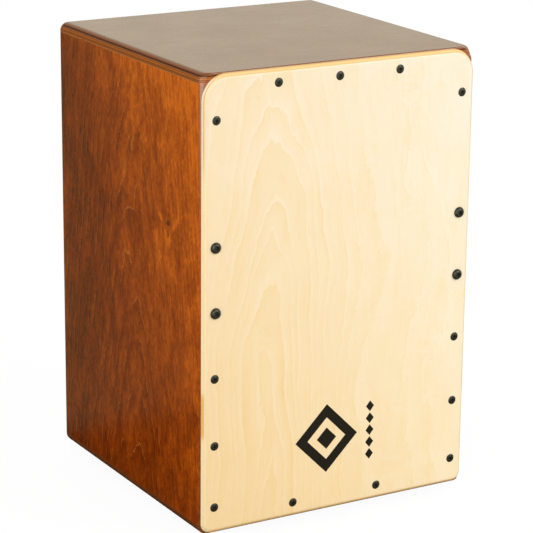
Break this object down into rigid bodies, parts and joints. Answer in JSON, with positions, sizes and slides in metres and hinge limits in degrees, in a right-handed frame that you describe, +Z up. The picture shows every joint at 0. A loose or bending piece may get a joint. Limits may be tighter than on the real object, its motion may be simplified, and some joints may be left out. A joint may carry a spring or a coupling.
{
  "type": "cajon",
  "caption": "Wooden box drum with a thin screwed-on playing face, stained plywood body, rear sound hole and a snare set behind the face that adjusts from the front.",
  "frame": {"origin": "centre of the footprint on the floor, under the rubber feet", "axes": "+Z up through the seat, -Y towards the player's playing face, +Y out of the rear sound hole"},
  "size_m": [0.3, 0.306, 0.457],
  "materials": {
    "stained_seat": "satin",
    "stained_body": "satin",
    "raw_strip": "matte",
    "birch_face": "satin",
    "raw_board": "matte",
    "black_screw": "satin",
    "spring_wire": "bright",
    "zinc_steel": "satin",
    "foot_rubber": "matte"
  },
  "bodies": {
    "box": {"seat_panel": "stained_seat", "base_panel": "stained_body", "left_side_panel": "stained_body", "right_side_panel": "stained_body", "back_panel": "stained_body", "front_left_strip": "raw_strip", "front_right_strip": "raw_strip", "front_top_strip": "raw_strip", "front_bottom_strip": "raw_strip", "rear_left_strip": "raw_strip", "rear_right_strip": "raw_strip", "rear_top_strip": "raw_strip", "rear_bottom_strip": "raw_strip", "tapa": "birch_face", "tapa_screws": "black_screw", "snare_springs": "spring_wire", "front_left_foot": "foot_rubber", "rear_left_foot": "foot_rubber", "front_right_foot": "foot_rubber", "rear_right_foot": "foot_rubber", "foot_washers": "zinc_steel", "foot_screws": "zinc_steel"},
    "snare_carrier": {"snare_board": "raw_board", "adjuster_plate_left": "zinc_steel", "adjuster_plate_right": "zinc_steel", "adjuster_plate_screws": "zinc_steel", "snare_end_plate_left": "zinc_steel", "snare_end_plate_right": "zinc_steel", "snare_strands_left": "spring_wire", "snare_strands_right": "spring_wire", "snare_clamp_bar_left": "zinc_steel", "snare_clamp_bar_right": "zinc_steel", "snare_clamp_screws": "zinc_steel"},
    "screw_upper_left": {"snare_screw_upper_left": "black_screw"},
    "screw_upper_right": {"snare_screw_upper_right": "black_screw"},
    "screw_lower_left": {"snare_screw_lower_left": "black_screw"},
    "screw_lower_right": {"snare_screw_lower_right": "black_screw"}
  },
  "joints": [
    {"name": "turn_upper_left", "type": "hinge", "parent": "box", "child": "screw_upper_left", "pos_m": [-0.1354, -0.15, 0.2941], "axis": [0, 1, 0], "range_deg": [0, 1080]},
    {"name": "turn_upper_right", "type": "hinge", "parent": "box", "child": "screw_upper_right", "pos_m": [0.1354, -0.15, 0.2941], "axis": [0, 1, 0], "range_deg": [0, 1080]},
    {"name": "turn_lower_left", "type": "hinge", "parent": "box", "child": "screw_lower_left", "pos_m": [-0.1354, -0.15, 0.231], "axis": [0, 1, 0], "range_deg": [0, 1080]},
    {"name": "turn_lower_right", "type": "hinge", "parent": "box", "child": "screw_lower_right", "pos_m": [0.1354, -0.15, 0.231], "axis": [0, 1, 0], "range_deg": [0, 1080]},
    {"name": "snare_slide", "type": "slide", "parent": "box", "child": "snare_carrier", "axis": [0, -1, 0], "range_m": [0, 0.003], "deforming": ["snare_springs"]}
  ],
  "couplings": [
    {"joint": "turn_upper_left", "follows": "snare_slide", "rad_per_m": 6283.2},
    {"joint": "turn_upper_right", "follows": "snare_slide", "rad_per_m": 6283.2},
    {"joint": "turn_lower_left", "follows": "snare_slide", "rad_per_m": 6283.2},
    {"joint": "turn_lower_right", "follows": "snare_slide", "rad_per_m": 6283.2}
  ]
}
